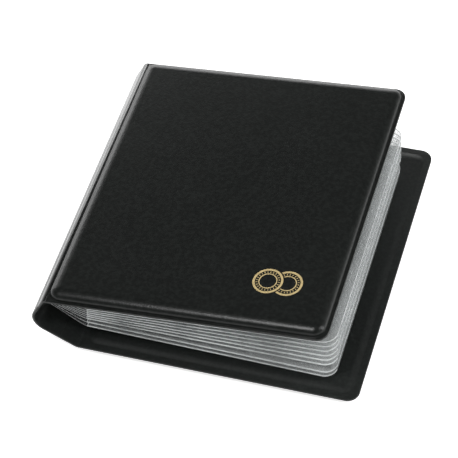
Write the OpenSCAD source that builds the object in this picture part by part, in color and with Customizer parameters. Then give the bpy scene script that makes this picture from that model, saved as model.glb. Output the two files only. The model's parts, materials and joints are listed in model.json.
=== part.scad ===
// Pocket coin album: two padded covers, a soft folding spine and clear pocket leaves.
// It lies on its back cover with the front cover a few degrees open. X runs from the
// spine to the fore-edge, Y along the spine, Z up. Sizes are in millimetres.

/* [Covers] */
// Width of a cover from its crease to the fore-edge
cover_w = 130; // [120:1:150]
// Height of the album along the spine
album_h = 150; // [140:1:170]
// Width of the welded rim around each padded panel
rim_w = 2.2; // [2:0.2:5]
// Depth of the padded panel below the rim
pad_depth = 3.6; // [3:0.1:5]
// Radius along the edge of the padded panel
pad_edge_r = 2.6; // [1.6:0.2:2.8]
// Thickness of one sheet of the cover skin
skin_t = 0.6; // [0.5:0.1:0.8]
// Thickness of the stiffening board
board_t = 2; // [1.5:0.1:2.2]
// Corner radius of the rim at the fore-edge
rim_corner_r = 5.5; // [5:0.5:12]
// Corner radius of the padded panel
pad_corner_r = 5; // [4:0.5:8]
// Angle by which the front cover stands open
open_angle = 4.9; // [4:0.1:6]

/* [Spine] */
// Rise of the spine's lower arm above the table
lower_slope = 31; // [28:1:34]
// Rise of the spine's upper arm towards the front crease
upper_slope = 61; // [58:1:66]
// Straight length of the lower arm
lower_arm = 17; // [15:0.5:19]
// Straight length of the upper arm
upper_arm = 10.9; // [10.5:0.1:12]
// Radius of the soft bend between the arms
bend_r = 8; // [7:0.5:9]

/* [Leaves] */
// Height of a leaf along the spine
leaf_h = 128; // [120:1:134]
// How far the leaves sit off the middle, towards the near edge
leaf_offset = 3.5; // [0:0.5:4]
// Width of a leaf's pocket panel
page_w = 115; // [100:1:116]
// Reach of the top leaf's hinge strip from the spine to its pockets
strip_reach = 17.8; // [15:0.2:18]
// Thickness of a hinge strip
strip_t = 0.2; // [0.1:0.05:0.2]
// Thickness of each of the two films of a pocket panel
film_t = 0.25; // [0.15:0.05:0.3]
// Corner radius of a leaf at the fore-edge
leaf_corner_r = 6; // [3:1:10]
// Pockets across a leaf
pockets_across = 3; // [2:1:4]
// Pockets along a leaf
pockets_along = 3; // [2:1:4]
// Radius of the thumb notch in a pocket's mouth
notch_r = 6; // [4:1:8]

/* [Emblem] */
// Outer radius of one coin ring
coin_r = 6.8; // [5:0.2:8]
// Distance of the emblem's centre from the crease
emblem_x = 101.5; // [90:0.5:112]
// Distance of the emblem's centre from the near edge
emblem_from_edge = 25; // [14:1:30]

/* [Hidden] */
$fn = 64;
leaf_count = 8;

// From the top leaf to the bottom one: how much further each hinge strip reaches, its
// downward angle, and the upward angle of the page beyond it.
extra_reach = [0, 0.5, 0.9, 1.4, 1.9, 2.4, 3.5, 4.9];
strip_droop = [18.5, 20, 21.5, 23.5, 25, 27, 31.5, 36];
page_rise = [5, 4, 3, 2, 1, 0, -1.5, -1.5];

black_vinyl = [0.08, 0.09, 0.085];
lining_vinyl = [0.10, 0.11, 0.105];
grey_board = [0.55, 0.52, 0.47];
cream_foam = [0.9, 0.87, 0.75];
clear_film = [0.8, 0.84, 0.87, 0.5];
gold_foil = [0.85, 0.70, 0.40];

function along(angle) = [cos(angle), sin(angle)];

// Spine section in the XZ plane, with the back crease at its rim height.
rim_z = skin_t + pad_depth;
lower_heading = 180 - lower_slope;
upper_heading = upper_slope;
mid_heading = (lower_heading + upper_heading) / 2;
back_crease = [0, rim_z];
bend_start = back_crease + lower_arm * along(lower_heading);
bend_centre = bend_start + bend_r * along(lower_heading - 90);
bend_end = bend_centre + bend_r * along(upper_heading + 90);
front_crease = bend_end + upper_arm * along(upper_heading);
crease_gap = 0.7;
bend_gap_angle = 5.7;
bend_steps = 8;

// The outermost point of the bend and the fore-edge of the back cover set the middle.
x_middle = (cover_w + bend_centre[0] - bend_r - skin_t) / 2;

pad_start = 3;
pad_w = cover_w - rim_w - pad_start;
pad_h = album_h - 2 * rim_w;
pad_floor_z = -rim_z;
lining_rise = 0.8;
fit_gap = 0.05;
panel_inset = 1.2;
panel_w = pad_w - 2 * panel_inset;
panel_h = pad_h - 2 * panel_inset;
panel_corner_r = pad_corner_r - panel_inset;
panel_edge_r = 1;

binding_w = 8;
binding_t = 0.6;
root_from_crease = 6.3;
root_height = 1.6;
root_pitch = 0.8;
root_gap = 2;
page_gap = 0.4;
page_inset = 1.5;
slit_w = 0.8;
seam_w = 2;

function root(k) = front_crease
    - (root_from_crease + (k - (leaf_count + 1) / 2) * root_pitch) * along(upper_heading)
    + root_height * along(upper_heading - 90);
function strip_w(k) = strip_reach + extra_reach[k - 1];
function page_start(k) = root(k) + strip_w(k) * along(-strip_droop[k - 1]);

// Lays a drawing made in the XZ plane out along Y, centred.
module along_spine(length) {
    rotate([90, 0, 0])
        linear_extrude(length, center = true)
            children();
}

// Places a cover that is drawn flat with its crease on Y and its padding downwards.
module at_back_cover() {
    translate([-x_middle, 0, rim_z]) children();
}

module at_front_cover() {
    translate([front_crease[0] - x_middle, 0, front_crease[1]])
        rotate([0, -open_angle, 0])
            mirror([0, 0, 1])
                children();
}

// Carries a section profile round a rectangle: its X runs outwards from each corner's
// centre, and its Y is the height.
module swept_round(w, h, r) {
    for (side = [0, 1]) {
        across = side == 0 ? w : h;
        length = side == 0 ? h - 2 * r : w - 2 * r;
        for (turn = [0, 180])
            rotate([0, 0, turn + 90 * side])
                translate([across / 2 - r, 0, 0])
                    rotate([90, 0, 0])
                        linear_extrude(length, center = true)
                            children();
    }
    for (turn = [0, 90, 180, 270]) {
        quarter_w = turn % 180 == 0 ? w : h;
        quarter_h = turn % 180 == 0 ? h : w;
        rotate([0, 0, turn])
            translate([quarter_w / 2 - r, quarter_h / 2 - r, 0])
                rotate_extrude(angle = 90)
                    children();
    }
}

// A shell section: a wall that turns with a radius into a flat floor. Depth is downwards.
module shell_section(r, top, depth, edge_r, t) {
    steps = 6;
    outer = [for (i = [0:steps])
        [r - edge_r, top - depth + edge_r] + edge_r * along(-90 * i / steps)];
    inner = [for (i = [0:steps])
        [r - edge_r, top - depth + edge_r]
            + (edge_r - t) * along(-90 * (steps - i) / steps)];
    polygon(concat([[r - t, top], [r, top]], outer,
        [[0, top - depth], [0, top - depth + t]], inner));
}

// A solid section with the same lower edge.
module block_section(r, top, depth, edge_r) {
    steps = 6;
    outer = [for (i = [0:steps])
        [r - edge_r, top - depth + edge_r] + edge_r * along(-90 * i / steps)];
    polygon(concat([[0, top], [r, top]], outer, [[0, top - depth]]));
}

// The slab inside the corner centres of a swept shape.
module middle_slab(w, h, r, z, t) {
    translate([-(w / 2 - r), -(h / 2 - r), z])
        cube([w - 2 * r, h - 2 * r, t]);
}

module rounded_plate(w, h, r, z, t) {
    translate([0, 0, z])
        linear_extrude(t)
            union() {
                square([w - 2 * r, h], center = true);
                square([w, h - 2 * r], center = true);
                for (x = [-1, 1], y = [-1, 1])
                    translate([x * (w / 2 - r), y * (h / 2 - r)])
                        circle(r);
            }
}

// Outline of a sheet that is square at the crease and rounded at the fore-edge.
module sheet_outline(start, w, h, r) {
    translate([start, -h / 2])
        square([w - start - r, h]);
    translate([w - 2 * r, -h / 2 + r])
        square([2 * r, h - 2 * r]);
    for (y = [-1, 1])
        translate([w - r, y * (h / 2 - r)])
            circle(r);
}

module pad_centre() {
    translate([pad_start + pad_w / 2, 0, 0]) children();
}

// Outer skin of a cover: the welded rim and the padded panel's shell below it.
module cover_skin() {
    inner_w = pad_w - 2 * skin_t;
    inner_h = pad_h - 2 * skin_t;
    inner_r = pad_corner_r - skin_t;
    difference() {
        union() {
            translate([0, 0, -skin_t])
                linear_extrude(skin_t)
                    sheet_outline(crease_gap, cover_w, album_h, rim_corner_r);
            pad_centre() {
                swept_round(pad_w, pad_h, pad_corner_r)
                    block_section(pad_corner_r, -skin_t, pad_depth, pad_edge_r);
                middle_slab(pad_w, pad_h, pad_corner_r, pad_floor_z, pad_depth);
            }
        }
        pad_centre() {
            swept_round(inner_w, inner_h, inner_r)
                block_section(inner_r, skin_t, pad_depth + skin_t, pad_edge_r - skin_t);
            middle_slab(inner_w, inner_h, inner_r, pad_floor_z + skin_t, pad_depth + skin_t);
        }
    }
}

// Foam sheet between the skin and the board.
module cover_foam() {
    inner_w = pad_w - 2 * (skin_t + fit_gap);
    inner_h = pad_h - 2 * (skin_t + fit_gap);
    inner_r = pad_corner_r - skin_t - fit_gap;
    foam_top = lining_rise - board_t - fit_gap;
    foam_t = foam_top - (pad_floor_z + skin_t + fit_gap);
    pad_centre() {
        swept_round(inner_w, inner_h, inner_r)
            block_section(inner_r, foam_top, foam_t, pad_edge_r - skin_t - fit_gap);
        middle_slab(inner_w, inner_h, inner_r, foam_top - foam_t, foam_t);
    }
}

module cover_board() {
    inset = panel_inset + skin_t + fit_gap;
    pad_centre()
        rounded_plate(pad_w - 2 * inset, pad_h - 2 * inset, pad_corner_r - inset,
            lining_rise - board_t, board_t - fit_gap);
}

// Inner lining: welded to the skin along the rim and raised over the board.
module cover_lining() {
    difference() {
        linear_extrude(skin_t)
            sheet_outline(crease_gap, cover_w, album_h, rim_corner_r);
        pad_centre()
            rounded_plate(panel_w - 2 * skin_t, panel_h - 2 * skin_t,
                panel_corner_r - skin_t, -skin_t, 3 * skin_t);
    }
    pad_centre()
        mirror([0, 0, 1]) {
            swept_round(panel_w, panel_h, panel_corner_r)
                shell_section(panel_corner_r, -skin_t, lining_rise, panel_edge_r, skin_t);
            middle_slab(panel_w, panel_h, panel_corner_r, -skin_t - lining_rise, skin_t);
        }
}

// Section of one sheet of the spine's lower half, between two offsets from its middle.
module lower_film(inner, outer) {
    first = mid_heading + 90 + bend_gap_angle;
    last = lower_heading + 90;
    away = along(lower_heading + 90);
    start = back_crease + crease_gap * along(lower_heading);
    step = (last - first) / bend_steps;
    polygon(concat(
        [start + inner * away],
        [for (i = [bend_steps:-1:0]) bend_centre + (bend_r + inner) * along(first + i * step)],
        [for (i = [0:bend_steps]) bend_centre + (bend_r + outer) * along(first + i * step)],
        [start + outer * away]));
}

module upper_film(inner, outer) {
    first = upper_heading + 90;
    last = mid_heading + 90 - bend_gap_angle;
    away = along(upper_heading + 90);
    finish = front_crease - crease_gap * along(upper_heading);
    step = (last - first) / bend_steps;
    polygon(concat(
        [finish + inner * away],
        [for (i = [0:bend_steps]) bend_centre + (bend_r + inner) * along(first + i * step)],
        [for (i = [bend_steps:-1:0]) bend_centre + (bend_r + outer) * along(first + i * step)],
        [finish + outer * away]));
}

module spine_sheet() {
    translate([-x_middle, 0, 0])
        along_spine(album_h)
            children();
}

// Welded bar on the inside of the spine that holds the roots of all the leaves.
module leaf_binding() {
    color(clear_film)
        translate([-x_middle, -leaf_offset, 0])
            along_spine(leaf_h)
                translate(front_crease - root_from_crease * along(upper_heading)
                    + (skin_t + binding_t / 2) * along(upper_heading - 90))
                    rotate(upper_heading)
                        square([binding_w, binding_t], center = true);
}

module leaf_hinge_strip(k) {
    origin = root(k);
    color(clear_film)
        translate([origin[0] - x_middle, -leaf_offset, origin[1]])
            rotate([0, strip_droop[k - 1], 0])
                translate([root_gap, -leaf_h / 2, -strip_t / 2])
                    cube([strip_w(k) - root_gap - page_gap, leaf_h, strip_t]);
}

module at_page(k) {
    origin = page_start(k);
    translate([origin[0] - x_middle, -leaf_offset, origin[1]])
        rotate([0, -page_rise[k - 1], 0])
            children();
}

module leaf_page_film(k) {
    color(clear_film)
        at_page(k)
            translate([0, 0, -film_t])
                linear_extrude(film_t)
                    sheet_outline(page_gap, page_w, leaf_h, leaf_corner_r);
}

// Front film of a leaf: one slit with a thumb notch is the mouth of each pocket.
module leaf_pocket_film(k) {
    panel_w = page_w - page_inset - seam_w;
    cell_w = panel_w / pockets_across;
    cell_h = (leaf_h - 2 * seam_w) / pockets_along;
    color(clear_film)
        at_page(k)
            linear_extrude(film_t)
                difference() {
                    sheet_outline(page_gap, page_w, leaf_h, leaf_corner_r);
                    for (i = [0:pockets_across - 1], j = [1:pockets_along])
                        translate([page_inset + (i + 0.5) * cell_w,
                                -leaf_h / 2 + seam_w + j * cell_h - seam_w]) {
                            square([cell_w - 2 * seam_w, slit_w], center = true);
                            intersection() {
                                circle(notch_r);
                                translate([-notch_r, -notch_r])
                                    square([2 * notch_r, notch_r]);
                            }
                        }
                }
}

// Foil emblem of two overlapping coins, each with a rim, edge marks and an inner ring.
module front_cover_emblem() {
    foil_t = 0.08;
    ring_w = 1;
    color(gold_foil)
        at_front_cover()
            translate([emblem_x, -album_h / 2 + emblem_from_edge, pad_floor_z - foil_t])
                linear_extrude(foil_t) {
                    coin_rings(-coin_r * 0.55, ring_w);
                    difference() {
                        coin_rings(coin_r * 0.75, ring_w);
                        translate([-coin_r * 0.55, 0])
                            circle(coin_r + ring_w * 0.6);
                    }
                }
}

module coin_rings(x, ring_w) {
    edge_ticks = 24;
    translate([x, 0]) {
        difference() {
            circle(coin_r);
            circle(coin_r - ring_w);
        }
        difference() {
            circle(coin_r * 0.62);
            circle(coin_r * 0.62 - ring_w / 2);
        }
        for (i = [1:edge_ticks])
            rotate(i * 360 / edge_ticks)
                translate([coin_r * 0.68, -ring_w / 6])
                    square([coin_r * 0.11, ring_w / 3]);
    }
}

module back_cover_skin() { color(black_vinyl) at_back_cover() cover_skin(); }
module back_cover_foam() { color(cream_foam) at_back_cover() cover_foam(); }
module back_cover_board() { color(grey_board) at_back_cover() cover_board(); }
module back_cover_lining() { color(lining_vinyl) at_back_cover() cover_lining(); }
module front_cover_skin() { color(black_vinyl) at_front_cover() cover_skin(); }
module front_cover_foam() { color(cream_foam) at_front_cover() cover_foam(); }
module front_cover_board() { color(grey_board) at_front_cover() cover_board(); }
module front_cover_lining() { color(lining_vinyl) at_front_cover() cover_lining(); }
module spine_lower_skin() { color(black_vinyl) spine_sheet() lower_film(0, skin_t); }
module spine_lower_lining() { color(lining_vinyl) spine_sheet() lower_film(-skin_t, 0); }
module spine_upper_skin() { color(black_vinyl) spine_sheet() upper_film(0, skin_t); }
module spine_upper_lining() { color(lining_vinyl) spine_sheet() upper_film(-skin_t, 0); }

back_cover_skin();
back_cover_foam();
back_cover_board();
back_cover_lining();
spine_lower_skin();
spine_lower_lining();
spine_upper_skin();
spine_upper_lining();
leaf_binding();
front_cover_skin();
front_cover_foam();
front_cover_board();
front_cover_lining();
front_cover_emblem();
for (k = [1:leaf_count]) {
    leaf_hinge_strip(k);
    leaf_page_film(k);
    leaf_pocket_film(k);
}
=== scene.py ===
"""Coin album: padded covers, a soft folding spine and clear pocket leaves on a CAD frame."""
import json
import math

import bpy
from mathutils import Matrix, Vector


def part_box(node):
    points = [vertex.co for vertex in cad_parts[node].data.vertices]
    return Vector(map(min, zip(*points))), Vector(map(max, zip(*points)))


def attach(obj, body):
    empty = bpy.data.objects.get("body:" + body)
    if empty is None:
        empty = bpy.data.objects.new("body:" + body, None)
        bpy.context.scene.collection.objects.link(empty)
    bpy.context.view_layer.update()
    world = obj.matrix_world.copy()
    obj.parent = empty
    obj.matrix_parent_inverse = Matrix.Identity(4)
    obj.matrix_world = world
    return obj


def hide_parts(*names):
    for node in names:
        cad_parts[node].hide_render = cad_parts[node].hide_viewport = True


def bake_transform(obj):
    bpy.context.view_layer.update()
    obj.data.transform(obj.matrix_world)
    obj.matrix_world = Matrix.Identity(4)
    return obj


bl_info = {
    "name": "Coin Album",
    "version": (1, 0, 0),
    "blender": (4, 5, 0),
    "location": "View3D > Sidebar > Album",
    "description": "Builds the covers, spine, leaves and emblem of a pocket coin album",
    "category": "Object",
}

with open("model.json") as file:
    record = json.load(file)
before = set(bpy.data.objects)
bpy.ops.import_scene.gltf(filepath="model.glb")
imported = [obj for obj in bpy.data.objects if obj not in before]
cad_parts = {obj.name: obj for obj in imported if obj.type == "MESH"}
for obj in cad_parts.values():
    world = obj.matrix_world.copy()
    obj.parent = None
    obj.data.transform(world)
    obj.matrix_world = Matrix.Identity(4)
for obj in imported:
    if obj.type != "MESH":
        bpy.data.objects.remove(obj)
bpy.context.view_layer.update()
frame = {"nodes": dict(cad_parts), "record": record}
MM = 0.001
HINGES = {j["name"]: j for j in frame["record"]["behaviour"]["joints"]}
LEAVES = range(1, 1 + sum(name.endswith("_turn") for name in HINGES))
TINY = 1e-6
CORNER_SEGMENTS = 10


# ---------------------------------------------------------------- places read from the frame

def hinge(name):
    """Where a joint's axis crosses the middle of the album."""
    return Vector(HINGES[name]["pos_m"])


def heading(angle):
    """The direction in the XZ plane that climbs by angle, in radians, from +X."""
    return Vector((math.cos(angle), 0, math.sin(angle)))


def width(node, axis):
    """Size of a CAD node's box along an axis."""
    low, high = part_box(node)
    return high[axis] - low[axis]


def middle(*nodes):
    """Centre of the box round some CAD nodes."""
    low = [min(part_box(n)[0][i] for n in nodes) for i in range(3)]
    high = [max(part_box(n)[1][i] for n in nodes) for i in range(3)]
    return (Vector(low) + Vector(high)) / 2


BACK_CREASE = hinge("back_crease_fold")
SPINE_BEND = hinge("spine_bend")
FRONT_CREASE = hinge("front_crease_fold")
ALBUM_H = width("back_cover_skin", 1)
COVER_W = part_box("back_cover_skin")[1][0] - BACK_CREASE.x
BOARD_W = width("back_cover_board", 0)
BOARD_T = width("back_cover_board", 2)
# The front board is the back one tilted, so the rise of its box gives the opening angle.
OPEN_ANGLE = (math.asin(width("front_cover_board", 2) / math.hypot(BOARD_W, BOARD_T))
              - math.atan2(BOARD_T, BOARD_W))
PAD_H = width("back_cover_foam", 1)
PAD_W = width("back_cover_foam", 0)
PAD_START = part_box("back_cover_foam")[0][0] - BACK_CREASE.x
LEAF_H = width("leaf_1_page_film", 1)
LEAF_SHIFT = Vector((0, middle("leaf_1_page_film").y, 0))


def place(origin, angle, upside_down=False):
    """Matrix that puts a piece drawn from its crease along +X at origin, climbing by angle."""
    out, up = heading(angle), heading(angle + math.pi / 2)
    turn = Matrix(((out.x, 0, up.x), (0, 1, 0), (out.z, 0, up.z))).to_4x4()
    flip = Matrix.Rotation(math.pi, 4, "X") if upside_down else Matrix()
    return Matrix.Translation(origin) @ turn @ flip


def page_heading(k):
    """Angle at which the pocket panel of leaf k climbs from its fold."""
    centre = middle(f"leaf_{k}_page_film", f"leaf_{k}_pocket_film")
    offset = centre - hinge(f"leaf_{k}_page_fold")
    return math.atan2(offset.z, offset.x)


# ---------------------------------------------------------------- user settings

class CoverSettings(bpy.types.PropertyGroup):
    """Sizes and colours of the padded covers and the spine"""
    sheet: bpy.props.FloatProperty(
        name="Sheet", description="Thickness of one vinyl sheet",
        default=0.6 * MM, subtype="DISTANCE", unit="LENGTH")
    rim_corner: bpy.props.FloatProperty(
        name="Rim corner", description="Corner radius of the rim at the fore-edge",
        default=5.5 * MM, subtype="DISTANCE", unit="LENGTH")
    crease_half: bpy.props.FloatProperty(
        name="Crease half width", description="Half the width of the soft crease",
        default=1.3 * MM, subtype="DISTANCE", unit="LENGTH")
    lower_slope: bpy.props.FloatProperty(
        name="Lower slope", description="Slope of the spine's lower arm",
        default=math.radians(31), subtype="ANGLE", unit="ROTATION")
    upper_slope: bpy.props.FloatProperty(
        name="Upper slope", description="Slope of the spine's upper arm",
        default=math.radians(61), subtype="ANGLE", unit="ROTATION")
    bend_radius: bpy.props.FloatProperty(
        name="Bend radius", description="Radius of the spine's soft bend",
        default=8 * MM, subtype="DISTANCE", unit="LENGTH")
    vinyl: bpy.props.FloatVectorProperty(
        name="Vinyl", description="Colour of the outer vinyl", subtype="COLOR", size=4,
        default=(0.0108, 0.0122, 0.0114, 1))
    lining: bpy.props.FloatVectorProperty(
        name="Lining", description="Colour of the inner lining", subtype="COLOR", size=4,
        default=(0.0095, 0.0115, 0.0105, 1))
    foil: bpy.props.FloatVectorProperty(
        name="Foil", description="Colour of the stamped emblem", subtype="COLOR", size=4,
        default=(0.95, 0.74, 0.36, 1))


class LeafSettings(bpy.types.PropertyGroup):
    """Sizes and colours of the clear leaves"""
    film: bpy.props.FloatVectorProperty(
        name="Film", description="Tint of the clear film", subtype="COLOR", size=4,
        default=(0.62, 0.645, 0.645, 1))
    # This colour also tints the beads, where its near-white stands in for the light caught by the
    # film edges: painted highlight.
    weld: bpy.props.FloatVectorProperty(
        name="Weld", description="Colour of the welded seams", subtype="COLOR", size=4,
        default=(0.80, 0.825, 0.825, 1))
    strip_thickness: bpy.props.FloatProperty(
        name="Strip thickness", description="Thickness of a hinge strip",
        default=0.2 * MM, subtype="DISTANCE", unit="LENGTH")
    # The bead is a real welded ring. Its near-white, nearly opaque colour is painted highlight for
    # the light that the film edges catch.
    bead: bpy.props.FloatProperty(
        name="Bead", description="Width of the melted bead along a leaf's outline",
        default=0.3 * MM, subtype="DISTANCE", unit="LENGTH")
    seam: bpy.props.FloatProperty(
        name="Seam", description="Half the width of a seam between pockets",
        default=0.7 * MM, subtype="DISTANCE", unit="LENGTH")
    margin: bpy.props.FloatProperty(
        name="Margin", description="Width of the welded margin round a leaf",
        default=2 * MM, subtype="DISTANCE", unit="LENGTH")
    corner: bpy.props.FloatProperty(
        name="Corner", description="Corner radius of a leaf at the fore-edge",
        default=6 * MM, subtype="DISTANCE", unit="LENGTH")


class StageSettings(bpy.types.PropertyGroup):
    """Camera and light"""
    azimuth: bpy.props.FloatProperty(
        name="Azimuth", description="Camera angle round the album",
        default=math.radians(20.91), subtype="ANGLE", unit="ROTATION")
    elevation: bpy.props.FloatProperty(
        name="Elevation", description="Camera angle above the table",
        default=math.radians(49.89), subtype="ANGLE", unit="ROTATION")
    roll: bpy.props.FloatProperty(
        name="Roll", description="Camera roll",
        default=math.radians(-5.89), subtype="ANGLE", unit="ROTATION")
    distance: bpy.props.FloatProperty(
        name="Distance", description="Camera distance from its target",
        default=0.9678, subtype="DISTANCE", unit="LENGTH")
    lens: bpy.props.FloatProperty(
        name="Lens", description="Focal length", default=165.7, subtype="DISTANCE_CAMERA",
        unit="CAMERA")
    target: bpy.props.FloatVectorProperty(
        name="Target", description="Point that the camera looks at", subtype="XYZ",
        default=(-0.00332, -0.00477, 0.0192), unit="LENGTH")


# ---------------------------------------------------------------- modelling helpers

def fresh():
    """Object mode with nothing selected."""
    if bpy.context.object and bpy.context.object.mode != "OBJECT":
        bpy.ops.object.mode_set(mode="OBJECT")
    bpy.ops.object.select_all(action="DESELECT")


def only(piece):
    """Object mode with one piece selected and active."""
    fresh()
    piece.select_set(True)
    bpy.context.view_layer.objects.active = piece


def added(name):
    """The object that an operator has just added, with its name."""
    piece = bpy.context.object
    piece.name = name
    piece.data.name = name
    return piece


def rectangle(name, x0, x1, half_h, z):
    """A single face that spans x0 to x1 and both sides of the middle."""
    fresh()
    bpy.ops.mesh.primitive_plane_add(size=1, location=((x0 + x1) / 2, 0, z))
    piece = added(name)
    piece.scale = (x1 - x0, 2 * half_h, 1)
    bpy.ops.object.transform_apply(location=True, rotation=True, scale=True)
    return piece


def select(piece, kind, test):
    """Edit mode on a piece with only the elements that pass the test selected."""
    bpy.context.view_layer.objects.active = piece
    bpy.ops.object.mode_set(mode="EDIT")
    bpy.ops.mesh.select_mode(type=kind)
    bpy.ops.mesh.select_all(action="DESELECT")
    bpy.ops.object.mode_set(mode="OBJECT")
    elements = {"VERT": piece.data.vertices, "EDGE": piece.data.edges,
                "FACE": piece.data.polygons}[kind]
    for element in elements:
        element.select = bool(test(element))
    bpy.ops.object.mode_set(mode="EDIT")


def select_all_of(piece):
    """Edit mode on a piece with every face selected."""
    select(piece, "FACE", lambda face: True)


def bisect_all(piece, point, normal):
    """Cuts every face of a piece along a plane, and keeps both sides."""
    select_all_of(piece)
    bpy.ops.mesh.bisect(plane_co=point, plane_no=normal)
    bpy.ops.object.mode_set(mode="OBJECT")


def round_corners(piece, radius, test):
    """Rounds the corners of a flat face that pass the test."""
    select(piece, "VERT", test)
    bpy.ops.mesh.bevel(offset=radius, segments=CORNER_SEGMENTS, affect="VERTICES")
    bpy.ops.object.mode_set(mode="OBJECT")


def climb(piece, steps):
    """Insets a piece's top face step by step, each with its own rise."""
    top = max(v.co.z for v in piece.data.vertices)
    select(piece, "FACE", lambda f: f.center.z > top - TINY)
    for inwards, rise in steps:
        bpy.ops.mesh.inset(thickness=inwards, depth=rise)
    bpy.ops.object.mode_set(mode="OBJECT")


def close_base(piece):
    """Fills the open outline of a piece and turns its faces outwards."""
    select(piece, "EDGE", lambda e: False)
    bpy.ops.mesh.select_non_manifold(extend=False)
    bpy.ops.mesh.edge_face_add()
    tidy_faces()


def tidy_faces():
    """Merges doubles and points the faces outwards, from edit mode."""
    bpy.ops.mesh.select_all(action="SELECT")
    bpy.ops.mesh.remove_doubles(threshold=TINY)
    bpy.ops.mesh.normals_make_consistent(inside=False)
    bpy.ops.object.mode_set(mode="OBJECT")


def modify(piece, kind, **values):
    """Adds a modifier with its values and applies it."""
    bpy.context.view_layer.objects.active = piece
    modifier = piece.modifiers.new(kind.title(), kind)
    for key, value in values.items():
        setattr(modifier, key, value)
    bpy.ops.object.modifier_apply(modifier=modifier.name)


def join(pieces, name):
    """Joins pieces into one object with its own name."""
    fresh()
    for piece in pieces:
        piece.select_set(True)
    bpy.context.view_layer.objects.active = pieces[0]
    bpy.ops.object.join()
    return added(name)


def settle(piece, matrix):
    """Moves a piece to its place and keeps the move in its mesh."""
    only(piece)
    piece.matrix_world = matrix
    bpy.ops.object.transform_apply(location=True, rotation=True, scale=True)


def smooth(piece, degrees):
    """Smooth shading, with edges sharper than the angle kept crisp."""
    only(piece)
    bpy.ops.object.shade_smooth_by_angle(angle=math.radians(degrees))


def finish_piece(piece, material, body=None, replaced=()):
    """Gives a piece its material, slot and body, and hides the CAD nodes that it stands for."""
    if material:
        piece.data.materials.clear()
        piece.data.materials.append(material)
    if body:
        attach(piece, body)
    if replaced:
        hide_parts(*replaced)


def sheet_along(name, path, half_h, outside):
    """An open sheet swept along a path of points, its normals towards the given side."""
    piece = rectangle(name, path[0].x, path[0].x + MM, half_h, path[0].z)
    select(piece, "VERT", lambda v: v.co.x > path[0].x + MM / 2)
    bpy.ops.mesh.delete(type="VERT")
    bpy.ops.mesh.select_all(action="SELECT")
    for here, there in zip(path, path[1:]):
        bpy.ops.mesh.extrude_region_move(TRANSFORM_OT_translate={"value": there - here})
    bpy.ops.object.mode_set(mode="OBJECT")
    if piece.data.polygons[0].normal.dot(outside) < 0:
        select_all_of(piece)
        bpy.ops.mesh.flip_normals()
        bpy.ops.object.mode_set(mode="OBJECT")
    return piece


def hermite(a, a_pull, b, b_pull, steps):
    """Points on a smooth curve from a to b that leaves and arrives along the two pulls."""
    points = []
    for i in range(steps + 1):
        t = i / steps
        points.append((2 * t**3 - 3 * t**2 + 1) * a + (t**3 - 2 * t**2 + t) * a_pull
                      + (3 * t**2 - 2 * t**3) * b + (t**3 - t**2) * b_pull)
    return points


# ---------------------------------------------------------------- shader groups and materials

def node_group(name, inputs, outputs):
    """A new shader node group with its sockets, and its input and output nodes."""
    group = bpy.data.node_groups.new(name, "ShaderNodeTree")
    for label, kind, default in inputs:
        socket = group.interface.new_socket(label, in_out="INPUT", socket_type=kind)
        if default is not None:
            socket.default_value = default
    for label, kind in outputs:
        group.interface.new_socket(label, in_out="OUTPUT", socket_type=kind)
    return group, group.nodes.new("NodeGroupInput"), group.nodes.new("NodeGroupOutput")


def node(tree, kind, inputs=(), **values):
    """A node with its settings, its plain input values and its links."""
    made = tree.nodes.new(kind)
    for key, value in values.items():
        setattr(made, key, value)
    for socket, value in dict(inputs).items():
        if isinstance(value, bpy.types.NodeSocket):
            tree.links.new(value, made.inputs[socket])
        else:
            made.inputs[socket].default_value = value
    return made


def grain_group():
    """Pebbled vinyl grain: a height and a mask of its pores."""
    group, given, result = node_group(
        "VinylGrain",
        [("Vector", "NodeSocketVector", None), ("Scale", "NodeSocketFloat", 1500.0)],
        [("Height", "NodeSocketFloat"), ("Pores", "NodeSocketFloat")])
    vector, scale = given.outputs["Vector"], given.outputs["Scale"]
    pebble = node(group, "ShaderNodeTexVoronoi", {"Vector": vector, "Scale": scale},
                  feature="SMOOTH_F1")
    half = node(group, "ShaderNodeMath", {0: scale, 1: 0.45}, operation="MULTIPLY")
    creases = node(group, "ShaderNodeTexNoise",
                   {"Vector": vector, "Scale": half.outputs[0], "Detail": 3.0})
    mix = node(group, "ShaderNodeMath",
               {0: pebble.outputs["Distance"], 1: creases.outputs["Fac"]}, operation="ADD")
    group.links.new(mix.outputs[0], result.inputs["Height"])
    pores = node(group, "ShaderNodeMapRange",
                 {"Value": creases.outputs["Fac"], "From Min": 0.42, "From Max": 0.62})
    group.links.new(pores.outputs[0], result.inputs["Pores"])
    return group


def haze_group():
    """Cloudy streaks on plastic: one mask."""
    group, given, result = node_group(
        "FilmHaze",
        [("Vector", "NodeSocketVector", None), ("Scale", "NodeSocketFloat", 60.0)],
        [("Mask", "NodeSocketFloat")])
    cloud = node(group, "ShaderNodeTexNoise",
                 {"Vector": given.outputs["Vector"], "Scale": given.outputs["Scale"],
                  "Detail": 4.0, "Roughness": 0.6})
    spread = node(group, "ShaderNodeMapRange",
                  {"Value": cloud.outputs["Fac"], "From Min": 0.3, "From Max": 0.7})
    group.links.new(spread.outputs[0], result.inputs["Mask"])
    return group


def new_material(name):
    """A material with its node tree and its Principled shader."""
    material = bpy.data.materials.new(name)
    material.use_nodes = True
    tree = material.node_tree
    return material, tree, tree.nodes["Principled BSDF"]


def object_coordinates(tree):
    """Object coordinates of the piece that is shaded."""
    return node(tree, "ShaderNodeTexCoord").outputs["Object"]


def place_group(tree, group, vector, scale):
    """One of the shader groups in a material, at its own scale."""
    made = tree.nodes.new("ShaderNodeGroup")
    made.node_tree = group
    tree.links.new(vector, made.inputs["Vector"])
    made.inputs["Scale"].default_value = scale
    return made


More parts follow.
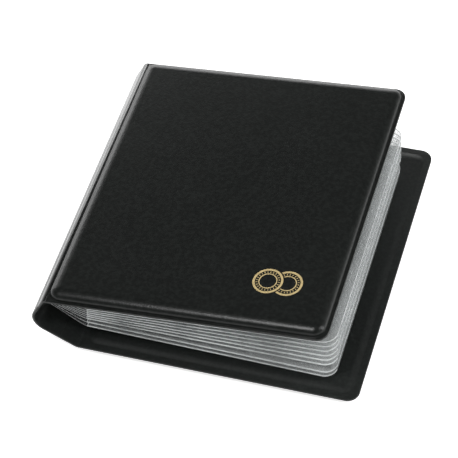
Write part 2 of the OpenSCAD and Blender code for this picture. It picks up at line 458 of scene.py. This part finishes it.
def vinyl_material(name, colour, rough, grain, depth, gloss=0.24):
    """Black vinyl: pebbled grain, paler pores and a broad unevenness of the foam behind it."""
    material, tree, shader = new_material(name)
    vector = object_coordinates(tree)
    grained = place_group(tree, GROUPS["grain"], vector, grain)
    broad = place_group(tree, GROUPS["haze"], vector, 35.0)
    tint = node(tree, "ShaderNodeMixRGB",
                {"Fac": grained.outputs["Pores"], "Color1": [c * 0.8 for c in colour[:3]] + [1],
                 "Color2": [c * 1.25 for c in colour[:3]] + [1]})
    tree.links.new(tint.outputs[0], shader.inputs["Base Color"])
    matt = node(tree, "ShaderNodeMapRange",
                {"Value": broad.outputs["Mask"], "To Min": rough - 0.015, "To Max": rough + 0.015})
    tree.links.new(matt.outputs[0], shader.inputs["Roughness"])
    soft = node(tree, "ShaderNodeBump",
                {"Height": broad.outputs["Mask"], "Strength": 0.06, "Distance": 0.3 * MM})
    bump = node(tree, "ShaderNodeBump",
                {"Height": grained.outputs["Height"], "Strength": depth,
                 "Distance": 0.06 * MM, "Normal": soft.outputs[0]})
    tree.links.new(bump.outputs[0], shader.inputs["Normal"])
    shader.inputs["Specular IOR Level"].default_value = gloss
    return material


def film_material(name, colour, clear, hazed, rough, ripples=0.0):
    """Soft clear plastic: mostly see-through, with cloudy patches that catch the light."""
    material, tree, shader = new_material(name)
    vector = object_coordinates(tree)
    haze = place_group(tree, GROUPS["haze"], vector, 45.0)
    ripple = place_group(tree, GROUPS["haze"], vector, 220.0)
    solid = node(tree, "ShaderNodeMapRange",
                 {"Value": haze.outputs["Mask"], "To Min": clear, "To Max": hazed})
    tree.links.new(solid.outputs[0], shader.inputs["Alpha"])
    matt = node(tree, "ShaderNodeMapRange",
                {"Value": ripple.outputs["Mask"], "To Min": rough, "To Max": rough + 0.04})
    tree.links.new(matt.outputs[0], shader.inputs["Roughness"])
    bump = node(tree, "ShaderNodeBump",
                {"Height": haze.outputs["Mask"], "Strength": ripples, "Distance": 0.25 * MM})
    tree.links.new(bump.outputs[0], shader.inputs["Normal"])
    shader.inputs["Base Color"].default_value = colour
    shader.inputs["IOR"].default_value = 1.5
    return material


def foil_material(colour):
    """Stamped gold foil: a metal with a fine broken surface."""
    material, tree, shader = new_material("GoldFoil")
    vector = object_coordinates(tree)
    wear = place_group(tree, GROUPS["grain"], vector, 1800.0)
    tint = node(tree, "ShaderNodeMixRGB",
                {"Fac": wear.outputs["Pores"], "Color1": [c * 0.82 for c in colour[:3]] + [1],
                 "Color2": list(colour)})
    tree.links.new(tint.outputs[0], shader.inputs["Base Color"])
    bump = node(tree, "ShaderNodeBump",
                {"Height": wear.outputs["Height"], "Strength": 0.4, "Distance": 0.04 * MM})
    tree.links.new(bump.outputs[0], shader.inputs["Normal"])
    shader.inputs["Metallic"].default_value = 0.5
    shader.inputs["Roughness"].default_value = 0.42
    return material


def filler_material(name, colour, scale, depth):
    """Foam or pressed board: a speckled, dull surface."""
    material, tree, shader = new_material(name)
    speck = place_group(tree, GROUPS["grain"], object_coordinates(tree), scale)
    tint = node(tree, "ShaderNodeMixRGB",
                {"Fac": speck.outputs["Pores"], "Color1": [c * 0.85 for c in colour] + [1],
                 "Color2": list(colour) + [1]})
    tree.links.new(tint.outputs[0], shader.inputs["Base Color"])
    bump = node(tree, "ShaderNodeBump",
                {"Height": speck.outputs["Height"], "Strength": depth, "Distance": 0.2 * MM})
    tree.links.new(bump.outputs[0], shader.inputs["Normal"])
    shader.inputs["Roughness"].default_value = 0.9
    return material


GROUPS = {}
MATERIALS = {}
# The material of each CAD node that shows as it is, by the end of its name.
CAD_FINISHES = {"_foam": "foam", "_board": "board", "_emblem": "foil",
                "_page_film": "film", "_pocket_film": "film"}


class ALBUM_OT_materials(bpy.types.Operator):
    """Makes the shader groups and materials of the album"""
    bl_idname = "album.materials"
    bl_label = "Make Materials"

    def execute(self, context):
        covers, leaves = context.scene.album_covers, context.scene.album_leaves
        GROUPS["grain"] = grain_group()
        GROUPS["haze"] = haze_group()
        MATERIALS["cover"] = vinyl_material("CoverVinyl", covers.vinyl, 0.3, 1200.0, 0.65)
        MATERIALS["spine"] = vinyl_material("SpineVinyl", covers.vinyl, 0.24, 1200.0, 0.1, 0.6)
        MATERIALS["lining"] = vinyl_material("LiningVinyl", covers.lining, 0.52, 1500.0, 0.4)
        MATERIALS["film"] = film_material("ClearFilm", leaves.film, 0.04, 0.08, 0.12, 0.15)
        MATERIALS["strip"] = film_material("HingeFilm", leaves.film, 0.04, 0.1, 0.15, 0.2)
        MATERIALS["weld"] = film_material("WeldedFilm", leaves.weld, 0.10, 0.17, 0.25)
        # The welded bead ring is real, but this near-white, nearly opaque colour is painted
        # highlight for the light that film edges catch. The haze mask varies that painted
        # highlight at random.
        MATERIALS["bead"] = film_material("WeldBeadPaintedGlint", leaves.weld, 0.35, 0.9, 0.2)
        MATERIALS["foil"] = foil_material(covers.foil)
        MATERIALS["foam"] = filler_material("CreamFoam", (0.8, 0.76, 0.62), 900.0, 0.6)
        MATERIALS["board"] = filler_material("GreyBoard", (0.42, 0.39, 0.34), 500.0, 0.3)
        for name, cad in frame["nodes"].items():
            for ending, kind in CAD_FINISHES.items():
                if name.endswith(ending):
                    cad.data.materials.clear()
                    cad.data.materials.append(MATERIALS[kind])
        return {"FINISHED"}


# ---------------------------------------------------------------- covers

# Each step is how far the outline moves in and how far it rises, in millimetres.
PAD_STEPS = [(0.1, 0.6), (0.1, 0.5), (0.2, 0.45), (0.3, 0.4), (0.45, 0.4), (0.6, 0.38),
             (0.7, 0.32), (0.8, 0.26), (0.8, 0.17), (0.5, 0.07), (0.3, 0.03)]
PANEL_STEPS = [(0.5, 0.1), (0.6, 0.2), (0.8, 0.24), (0.8, 0.16), (0.7, 0.08)]
RIM_STEPS = [(0.35, 0), (0.2, -0.12), (0.2, 0.12)]
RIM_BEVEL = 0.18 * MM
PAD_LIFT = 0.02 * MM
# How far each panel lies inside the foam's outline, and its radii at the crease and fore-edge.
SKIN_INSET, SKIN_CORNERS = -0.9 * MM, (5 * MM, 5.5 * MM)
LINING_INSET, LINING_CORNERS = 0.9 * MM, (4.5 * MM, 4.5 * MM)


def in_mm(steps):
    """The steps with their lengths turned from millimetres to metres."""
    return [(inwards * MM, rise * MM) for inwards, rise in steps]


def cover_half(name, settings, inset, corners, steps, rim_steps):
    """A welded rim sheet with a raised panel, drawn from the crease with the panel upwards."""
    sheet = settings.sheet
    rim = rectangle(name + "_rim", settings.crease_half, COVER_W, ALBUM_H / 2, sheet)
    round_corners(rim, settings.rim_corner, lambda v: v.co.x > COVER_W / 2)
    climb(rim, in_mm(rim_steps))
    modify(rim, "SOLIDIFY", thickness=sheet, offset=-1)
    modify(rim, "BEVEL", width=RIM_BEVEL, segments=3, limit_method="ANGLE",
           angle_limit=math.radians(50))
    x0 = PAD_START - sheet + inset
    x1 = PAD_START + PAD_W + sheet - inset
    pad = rectangle(name + "_pad", x0, x1, PAD_H / 2 + sheet - inset, sheet + PAD_LIFT)
    round_corners(pad, corners[0], lambda v: v.co.x < (x0 + x1) / 2)
    round_corners(pad, corners[1], lambda v: v.co.x > x1 - TINY)
    climb(pad, in_mm(steps))
    close_base(pad)
    return join([rim, pad], name)


class ALBUM_OT_covers(bpy.types.Operator):
    """Models the padded outer skins and the raised linings of both covers"""
    bl_idname = "album.covers"
    bl_label = "Build Covers"

    def execute(self, context):
        settings = context.scene.album_covers
        over = Matrix.Rotation(math.pi, 4, "X")
        for side, origin, angle, flipped in (
                ("front", FRONT_CREASE, OPEN_ANGLE, False), ("back", BACK_CREASE, 0, True)):
            matrix = place(origin, angle, flipped)
            skin = cover_half(f"{side}_cover_padded_skin", settings, SKIN_INSET, SKIN_CORNERS,
                              PAD_STEPS, RIM_STEPS)
            settle(skin, matrix)
            smooth(skin, 60)
            finish_piece(skin, MATERIALS["cover"], f"{side}_cover",
                         [f"{side}_cover_skin"])
            lining = cover_half(f"{side}_cover_panel_lining", settings, LINING_INSET,
                                LINING_CORNERS, PANEL_STEPS, ())
            settle(lining, matrix @ over)
            smooth(lining, 60)
            finish_piece(lining, MATERIALS["lining"], f"{side}_cover",
                         [f"{side}_cover_lining"])
        return {"FINISHED"}


# ---------------------------------------------------------------- spine

BEND_STEPS = 14
CREASE_STEPS = 6
SPINE_BEVEL = 0.12 * MM


def spine_points(settings):
    """The spine's section: the two arm directions, the bend's ends and its arc."""
    down = math.pi - settings.lower_slope
    up = settings.upper_slope
    centre = SPINE_BEND + settings.bend_radius * heading((down + up) / 2 - math.pi / 2)
    first = down + math.pi / 2
    arc = [centre + settings.bend_radius * heading(first + (up - down) * i / BEND_STEPS)
           for i in range(BEND_STEPS + 1)]
    return down, up, arc


def rounded_corner(corner, before, after):
    """Points of a soft fold that leaves before and joins after."""
    return [(1 - t)**2 * before + 2 * t * (1 - t) * corner + t**2 * after
            for t in (i / CREASE_STEPS for i in range(CREASE_STEPS + 1))]


class ALBUM_OT_spine(bpy.types.Operator):
    """Models the soft spine as outer and inner sheets that bend at the creases and the bend"""
    bl_idname = "album.spine"
    bl_label = "Build Spine"

    def execute(self, context):
        settings = context.scene.album_covers
        half = settings.crease_half
        down, up, arc = spine_points(settings)
        low_mid = (BACK_CREASE + arc[0]) / 2
        high_mid = (arc[-1] + FRONT_CREASE) / 2
        back_in = BACK_CREASE + half * heading(0)
        back_out = BACK_CREASE + half * heading(down)
        front_in = FRONT_CREASE - half * heading(up)
        front_out = FRONT_CREASE + half * heading(OPEN_ANGLE)
        paths = {
            "back_crease": (rounded_corner(BACK_CREASE, back_in, back_out) + [low_mid],
                            "back_cover", "spine_lower", back_in, back_out, ()),
            "spine_bend": ([low_mid] + arc + [high_mid],
                           "spine_lower", "spine_upper", arc[0], arc[-1],
                           ("spine_lower", "spine_upper")),
            "front_crease": ([high_mid] + rounded_corner(FRONT_CREASE, front_in, front_out),
                             "spine_upper", "front_cover", front_in, front_out, ())}
        for part, (path, first, second, start, end, halves) in paths.items():
            across = path[1] - path[0]
            outside = Vector((across.z, 0, -across.x))
            if outside.dot(path[0] - Vector((0, 0, FRONT_CREASE.z / 2))) < 0:
                outside = -outside
            for ply, offset, kind in (("skin", 1, "spine"), ("lining", -1, "lining")):
                piece = sheet_along(f"{part}_{ply}", path, ALBUM_H / 2, outside)
                modify(piece, "SOLIDIFY", thickness=settings.sheet, offset=offset)
                modify(piece, "BEVEL", width=SPINE_BEVEL, segments=2, limit_method="ANGLE",
                       angle_limit=math.radians(60))
                smooth(piece, 50)
                finish_piece(piece, MATERIALS[kind],
                             replaced=[f"{half_name}_{ply}" for half_name in halves])
                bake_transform(piece)
        return {"FINISHED"}


# ---------------------------------------------------------------- leaves

def inward():
    """The direction from the spine's upper arm towards the leaves."""
    return heading(bpy.context.scene.album_covers.upper_slope - math.pi / 2)


BAR_WIDTH = 8 * MM
BAR_THICKNESS = 0.6 * MM
# How far the bar lies behind the roots; its ridges stay short of them so the films can turn.
BAR_SETBACK = 0.4 * MM
RIDGE_WIDTH = 0.45 * MM
RIDGE_TAPER = 0.1 * MM
RIDGE_HEIGHT = 0.26 * MM


class ALBUM_OT_binding(bpy.types.Operator):
    """Models the welded bar that holds the roots of the leaves"""
    bl_idname = "album.binding"
    bl_label = "Build Binding"

    def execute(self, context):
        roots = [hinge(f"leaf_{k}_turn") for k in LEAVES]
        slope = context.scene.album_covers.upper_slope
        centre = (roots[0] + roots[-1]) / 2
        pitch = (roots[0] - roots[-1]).length / (len(roots) - 1)
        start = -(len(roots) - 1) / 2 * pitch
        bar = rectangle("leaf_binding_bar", -BAR_WIDTH / 2, BAR_WIDTH / 2, LEAF_H / 2, 0)
        for i in range(len(roots)):
            for edge in (-RIDGE_WIDTH / 2, RIDGE_WIDTH / 2):
                bisect_all(bar, (start + i * pitch + edge, 0, 0), (1, 0, 0))

        def on_root(face):
            return any(abs(face.center.x - start - i * pitch) < RIDGE_WIDTH / 4
                       for i in range(len(roots)))
        select(bar, "FACE", on_root)
        bpy.ops.mesh.inset(use_individual=True, thickness=RIDGE_TAPER, depth=RIDGE_HEIGHT)
        bpy.ops.object.mode_set(mode="OBJECT")
        modify(bar, "SOLIDIFY", thickness=BAR_THICKNESS, offset=-1)
        top = centre - BAR_SETBACK * inward()
        settle(bar, place(top + LEAF_SHIFT, slope, True))
        smooth(bar, 30)
        finish_piece(bar, MATERIALS["weld"], "spine_upper", ["leaf_binding"])
        return {"FINISHED"}


# Shape of a hinge film: how strongly it leaves its root and arrives at its page fold.
ROOT_PULL = 0.6
FOLD_PULL = 0.3
FOLD_LAP = 0.3 * MM
FILM_STEPS = 14


class ALBUM_OT_hinge_films(bpy.types.Operator):
    """Models the clear strip that carries each leaf from the spine to its pockets"""
    bl_idname = "album.hinge_films"
    bl_label = "Build Hinge Films"

    def execute(self, context):
        settings = context.scene.album_leaves
        for k in LEAVES:
            root, fold = hinge(f"leaf_{k}_turn"), hinge(f"leaf_{k}_page_fold")
            onwards = heading(page_heading(k))
            reach = (fold - root).length
            path = hermite(root, ROOT_PULL * reach * inward(), fold + FOLD_LAP * onwards,
                           FOLD_PULL * reach * onwards, FILM_STEPS)
            piece = sheet_along(f"leaf_{k}_hinge_film", path, LEAF_H / 2, Vector((0, 0, 1)))
            modify(piece, "SOLIDIFY", thickness=settings.strip_thickness, offset=0)
            settle(piece, Matrix.Translation(LEAF_SHIFT))
            smooth(piece, 60)
            # The cut ends of each strip take the bead material, a painted highlight for the light
            # caught along the film's edge.
            for material in (MATERIALS["strip"], MATERIALS["bead"]):
                piece.data.materials.append(material)
            for face in piece.data.polygons:
                face.material_index = int(abs(face.normal.y) > 0.9)
            finish_piece(piece, None, f"leaf_{k}_strip",
                         [f"leaf_{k}_hinge_strip"])
        return {"FINISHED"}


POCKETS = 3
WELD_START = 0.3 * MM
WELD_OVERHANG = 0.05 * MM
WELD_THICKNESS = 0.56 * MM
FOLD_MARGIN = 1.2 * MM
SMALLEST_POCKET = 100 * MM * MM


def seam_lattice(settings, length, beaded):
    """The welded margin and the seams between the pockets of one leaf, drawn flat."""
    piece = rectangle("leaf_welds", WELD_START, length, LEAF_H / 2 + WELD_OVERHANG, 0)
    round_corners(piece, settings.corner, lambda v: v.co.x > length / 2)
    for material in (MATERIALS["weld"], MATERIALS["bead"]):
        piece.data.materials.append(material)
    select_all_of(piece)
    bpy.ops.mesh.inset(thickness=settings.bead)
    bpy.ops.object.mode_set(mode="OBJECT")
    # The outline ring gets the bead material, a painted highlight along the leaf's edge; on one of
    # the two patterns the fore-edge ring stays plain weld.
    for face in piece.data.polygons:
        plain = face.select or (face.center.x > length - settings.bead and not beaded)
        face.material_index = 0 if plain else 1
    x0, x1 = WELD_START + FOLD_MARGIN, length - settings.margin
    y1 = LEAF_H / 2 - settings.margin
    lines = [((x0 + (x1 - x0) * i / POCKETS, 0, 0), (1, 0, 0)) for i in range(POCKETS + 1)]
    lines += [((0, -y1 + 2 * y1 * j / POCKETS, 0), (0, 1, 0)) for j in range(POCKETS + 1)]
    for point, normal in lines:
        bisect_all(piece, point, normal)

    def is_pocket(face):
        return (x0 < face.center.x < x1 and abs(face.center.y) < y1
                and face.area > SMALLEST_POCKET)
    select(piece, "FACE", is_pocket)
    bpy.ops.mesh.inset(use_individual=True, thickness=settings.seam)
    bpy.ops.mesh.delete(type="FACE")
    bpy.ops.object.mode_set(mode="OBJECT")
    modify(piece, "SOLIDIFY", thickness=WELD_THICKNESS, offset=0)
    return piece


class ALBUM_OT_seams(bpy.types.Operator):
    """Models the welded seams of every leaf"""
    bl_idname = "album.seams"
    bl_label = "Build Seams"

    def execute(self, context):
        settings = context.scene.album_leaves
        films = [f"leaf_{LEAVES[0]}_page_film", f"leaf_{LEAVES[0]}_pocket_film"]
        fold = hinge(f"leaf_{LEAVES[0]}_page_fold")
        to_centre = middle(*films) - fold
        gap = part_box(films[0])[0][0] - fold.x
        length = 2 * math.hypot(to_centre.x, to_centre.z) - gap
        patterns = [seam_lattice(settings, length, beaded) for beaded in (False, True)]
        for k in LEAVES:
            only(patterns[k % 2])
            bpy.ops.object.duplicate()
            piece = added(f"leaf_{k}_welds")
            settle(piece, place(hinge(f"leaf_{k}_page_fold") + LEAF_SHIFT, page_heading(k)))
            smooth(piece, 30)
            finish_piece(piece, None, f"leaf_{k}_page")
        for pattern in patterns:
            bpy.data.objects.remove(pattern)
        return {"FINISHED"}


# ---------------------------------------------------------------- stage

def softbox(name, location, size, power):
    """A rectangular area light that faces the middle of the table."""
    fresh()
    bpy.ops.object.light_add(type="AREA", location=location)
    light = bpy.context.object
    light.name = name
    light.data.shape = "RECTANGLE"
    light.data.size, light.data.size_y = size
    light.data.energy = power
    light.rotation_euler = (-Vector(location)).to_track_quat("-Z", "Y").to_euler()


class ALBUM_OT_stage(bpy.types.Operator):
    """Makes the pale table, the soft light and the camera"""
    bl_idname = "album.stage"
    bl_label = "Set Stage"

    def execute(self, context):
        stage = context.scene.album_stage
        fresh()
        bpy.ops.mesh.primitive_plane_add(size=6, location=(0, 0, 0))
        floor = added("table")
        material, tree, shader = new_material("PaleTable")
        shader.inputs["Base Color"].default_value = (0.9, 0.9, 0.9, 1)
        shader.inputs["Roughness"].default_value = 0.7
        shader.inputs["Emission Color"].default_value = (1, 1, 1, 1)
        shader.inputs["Emission Strength"].default_value = 0.75
        floor.data.materials.append(material)

        world = bpy.data.worlds.new("Studio")
        context.scene.world = world
        world.use_nodes = True
        tree = world.node_tree
        sky = tree.nodes["Background"]
        direction = node(tree, "ShaderNodeTexCoord").outputs["Generated"]
        split = node(tree, "ShaderNodeSeparateXYZ", {0: direction})
        fade = node(tree, "ShaderNodeMapRange",
                    {"Value": split.outputs["Z"], "From Min": 0.12, "From Max": 0.5,
                     "To Min": 1.1, "To Max": 0.05})
        sides = node(tree, "ShaderNodeMapRange",
                     {"Value": split.outputs["Y"], "From Min": -0.6, "From Max": 0.4,
                      "To Min": 0.3, "To Max": 1.1})
        glow = node(tree, "ShaderNodeMath", {0: fade.outputs[0], 1: sides.outputs[0]},
                    operation="MULTIPLY")
        sky.inputs["Color"].default_value = (1, 1, 1, 1)
        tree.links.new(glow.outputs[0], sky.inputs["Strength"])

        softbox("KeySoftbox", (-0.3, -0.5, 1.2), (0.3, 0.3), 8)
        softbox("BackSoftbox", (-0.7, 1.3, 0.3), (2.0, 0.45), 12)
        softbox("SideSoftbox", (1.2, 0.1, 0.75), (0.5, 1.3), 15.5)

        back = Vector((math.sin(stage.azimuth) * math.cos(stage.elevation),
                       -math.cos(stage.azimuth) * math.cos(stage.elevation),
                       math.sin(stage.elevation)))
        right = (-back).cross(Vector((0, 0, 1))).normalized()
        up = right.cross(-back)
        turned = Matrix.Rotation(stage.roll, 3, back)
        right, up = turned @ right, turned @ up
        bpy.ops.object.camera_add()
        camera = bpy.context.object
        camera.name = "AlbumCamera"
        place_at = Vector(stage.target) + back * stage.distance
        camera.matrix_world = Matrix.Translation(place_at) @ Matrix(
            (right, up, back)).transposed().to_4x4()
        camera.data.sensor_width = 36
        camera.data.lens = stage.lens
        camera.data.clip_start = 0.01
        context.scene.camera = camera
        context.scene.view_settings.view_transform = "Standard"
        context.scene.cycles.transparent_max_bounces = 64
        return {"FINISHED"}


class ALBUM_PT_panel(bpy.types.Panel):
    """Lists the album's settings and steps"""
    bl_label = "Coin Album"
    bl_idname = "ALBUM_PT_panel"
    bl_space_type = "VIEW_3D"
    bl_region_type = "UI"
    bl_category = "Album"

    def draw(self, context):
        for group in ("album_covers", "album_leaves", "album_stage"):
            settings = getattr(context.scene, group)
            for name in settings.__annotations__:
                self.layout.prop(settings, name)
        for step in STEPS:
            self.layout.operator(step.bl_idname)


STEPS = (ALBUM_OT_stage, ALBUM_OT_materials, ALBUM_OT_covers, ALBUM_OT_spine,
         ALBUM_OT_binding, ALBUM_OT_hinge_films, ALBUM_OT_seams)
SETTINGS = {"album_covers": CoverSettings, "album_leaves": LeafSettings,
            "album_stage": StageSettings}


def register():
    for cls in (*SETTINGS.values(), *STEPS, ALBUM_PT_panel):
        bpy.utils.register_class(cls)
    for name, cls in SETTINGS.items():
        setattr(bpy.types.Scene, name, bpy.props.PointerProperty(type=cls))


def unregister():
    for name in SETTINGS:
        delattr(bpy.types.Scene, name)
    for cls in reversed((*SETTINGS.values(), *STEPS, ALBUM_PT_panel)):
        bpy.utils.unregister_class(cls)


def main():
    """Registers the add-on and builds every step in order."""
    register()
    for step in STEPS:
        area, name = step.bl_idname.split(".")
        getattr(getattr(bpy.ops, area), name)()


if __name__ == "__main__":
    main()
